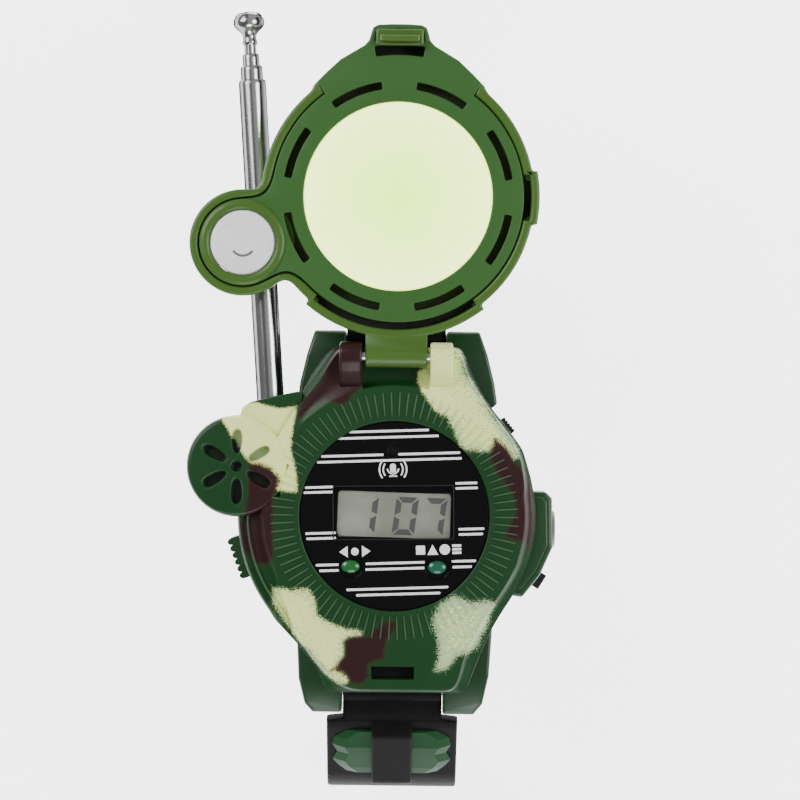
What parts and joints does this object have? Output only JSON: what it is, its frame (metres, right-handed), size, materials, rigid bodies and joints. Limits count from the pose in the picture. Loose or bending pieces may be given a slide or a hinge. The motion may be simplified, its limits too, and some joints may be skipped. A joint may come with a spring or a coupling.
{
  "type": "toy walkie talkie",
  "caption": "Camouflage toy walkie-talkie watch: clock face under a flip-up lid with compass, telescopic antenna, speaker, talk key, torch and buckled strap.",
  "frame": {"origin": "centre of the flat back of the case, behind the middle of the dial", "axes": "+Z the way the clock face looks, +Y towards twelve o'clock and the lid hinge, +X towards three o'clock"},
  "size_m": [0.078, 0.1682, 0.0619],
  "materials": {
    "camo_shell": "satin moulded plastic with sprayed camouflage patches",
    "case_green": "satin moulded plastic",
    "lid_green": "glossy moulded plastic",
    "liner_green": "satin moulded plastic",
    "key_green": "glossy moulded plastic",
    "dial_black": "printed gloss",
    "knob_dark": "matte",
    "cream_plastic": "matte",
    "clear_plastic": "clear moulded plastic",
    "lcd_glass": "polarised glass",
    "rubber_pink": "soft",
    "rubber_grey": "soft",
    "board_green": "solder mask",
    "steel": "plain",
    "chrome": "polished",
    "brass_gold": "plain",
    "mirror_face": "polished",
    "glow_pale": "luminous, satin",
    "compass_metal": "satin",
    "print_white": "printed",
    "needle_red": "painted",
    "strap_black": "soft moulded, satin",
    "cone_black": "matte"
  },
  "bodies": {
    "case": {"front_shell": "camo_shell", "back_shell": "case_green", "case_screws": "steel", "radio_cells": "steel", "contact_plates": "brass_gold", "main_board": "board_green", "speaker_frame": "steel", "speaker_cone": "cone_black", "microphone": "compass_metal", "dial_plate": "dial_black", "lcd_window": "clear_plastic", "lcd_panel": "lcd_glass", "zebra_strip": "rubber_pink", "clock_board": "board_green", "clock_cell": "steel", "key_pad": "rubber_grey", "ptt_spring": "steel", "ptt_switch": "knob_dark", "slide_switch": "knob_dark", "torch_housing": "case_green", "torch_lens": "clear_plastic", "torch_led": "cream_plastic", "torch_switch": "knob_dark", "antenna_tube": "chrome", "antenna_clamp": "brass_gold", "hinge_pin": "steel", "lower_lug_pin": "steel", "upper_lug_pin": "steel"},
    "battery_door": {"battery_door": "case_green", "door_screw": "steel"},
    "antenna_2": {"antenna_section_2": "chrome"},
    "antenna_3": {"antenna_section_3": "chrome"},
    "antenna_tip": {"antenna_rod": "chrome"},
    "lid": {"lid_shell": "lid_green", "lid_liner": "liner_green", "glow_disc": "glow_pale", "signal_mirror": "mirror_face", "compass_case": "compass_metal", "compass_dial": "print_white", "compass_pivot": "brass_gold", "compass_crystal": "clear_plastic"},
    "needle": {"compass_needle": "needle_red"},
    "talk_key": {"ptt_button": "key_green"},
    "power_knob": {"power_slider": "knob_dark"},
    "torch_key": {"torch_button": "knob_dark"},
    "set_key": {"set_button": "key_green"},
    "mode_key": {"mode_button": "key_green"},
    "strap_low": {"strap_lower": "strap_black", "lower_link_plate": "key_green"},
    "strap_up": {"strap_upper": "strap_black", "upper_link_plate": "key_green"},
    "keeper": {"strap_keeper": "strap_black"},
    "buckle": {"buckle_frame": "chrome", "buckle_pin": "steel"},
    "tang": {"buckle_tang": "chrome"}
  },
  "joints": [
    {"name": "lid_hinge", "type": "hinge", "parent": "case", "child": "lid", "pos_m": [0, 0.0335, 0.0186], "axis": [1, 0, 0], "range_deg": [0, 180]},
    {"name": "compass_spin", "type": "hinge", "parent": "lid", "child": "needle", "pos_m": [-0.03245, 0.057, 0.0163], "axis": [0, 0, 1], "continuous": true},
    {"name": "antenna_slide_2", "type": "slide", "parent": "case", "child": "antenna_2", "axis": [-0.0692, 0.9976, 0], "range_m": [0, 0.055]},
    {"name": "antenna_slide_3", "type": "slide", "parent": "antenna_2", "child": "antenna_3", "axis": [-0.0692, 0.9976, 0], "range_m": [0, 0.055]},
    {"name": "antenna_slide_tip", "type": "slide", "parent": "antenna_3", "child": "antenna_tip", "axis": [-0.0692, 0.9976, 0], "range_m": [0, 0.055]},
    {"name": "talk_press", "type": "slide", "parent": "case", "child": "talk_key", "axis": [0.9367, 0.3502, 0], "range_m": [0, 0.0012], "stiffness_N_per_m": 500, "springref_m": -0.0006},
    {"name": "power_slide", "type": "slide", "parent": "case", "child": "power_knob", "axis": [-0.6293, 0.7771, 0], "range_m": [0, 0.0024]},
    {"name": "torch_press", "type": "slide", "parent": "case", "child": "torch_key", "axis": [-0.8563, 0.5165, 0], "range_m": [0, 0.0006], "stiffness_N_per_m": 400, "springref_m": -0.0004},
    {"name": "set_press", "type": "slide", "parent": "case", "child": "set_key", "axis": [0, 0, -1], "range_m": [0, 0.0006], "stiffness_N_per_m": 300, "springref_m": -0.0004},
    {"name": "mode_press", "type": "slide", "parent": "case", "child": "mode_key", "axis": [0, 0, -1], "range_m": [0, 0.0006], "stiffness_N_per_m": 300, "springref_m": -0.0004},
    {"name": "battery_door_lift", "type": "slide", "parent": "case", "child": "battery_door", "axis": [0, 0, -1], "range_m": [0, 0.008]},
    {"name": "strap_lower_hinge", "type": "hinge", "parent": "case", "child": "strap_low", "pos_m": [0, -0.0378, 0.005], "axis": [1, 0, 0], "range_deg": [0, 22]},
    {"name": "strap_upper_hinge", "type": "hinge", "parent": "case", "child": "strap_up", "pos_m": [0, 0.0378, 0.005], "axis": [-1, 0, 0], "range_deg": [0, 22]},
    {"name": "keeper_slide", "type": "slide", "parent": "strap_up", "child": "keeper", "axis": [0, -1, 0], "range_m": [0, 0.0055]},
    {"name": "buckle_hinge", "type": "hinge", "parent": "strap_up", "child": "buckle", "pos_m": [0, 0.02445, -0.0365], "axis": [-1, 0, 0], "range_deg": [-60, 60]},
    {"name": "tang_hinge", "type": "hinge", "parent": "buckle", "child": "tang", "pos_m": [0, 0.02445, -0.0365], "axis": [1, 0, 0], "range_deg": [0, 100]}
  ]
}
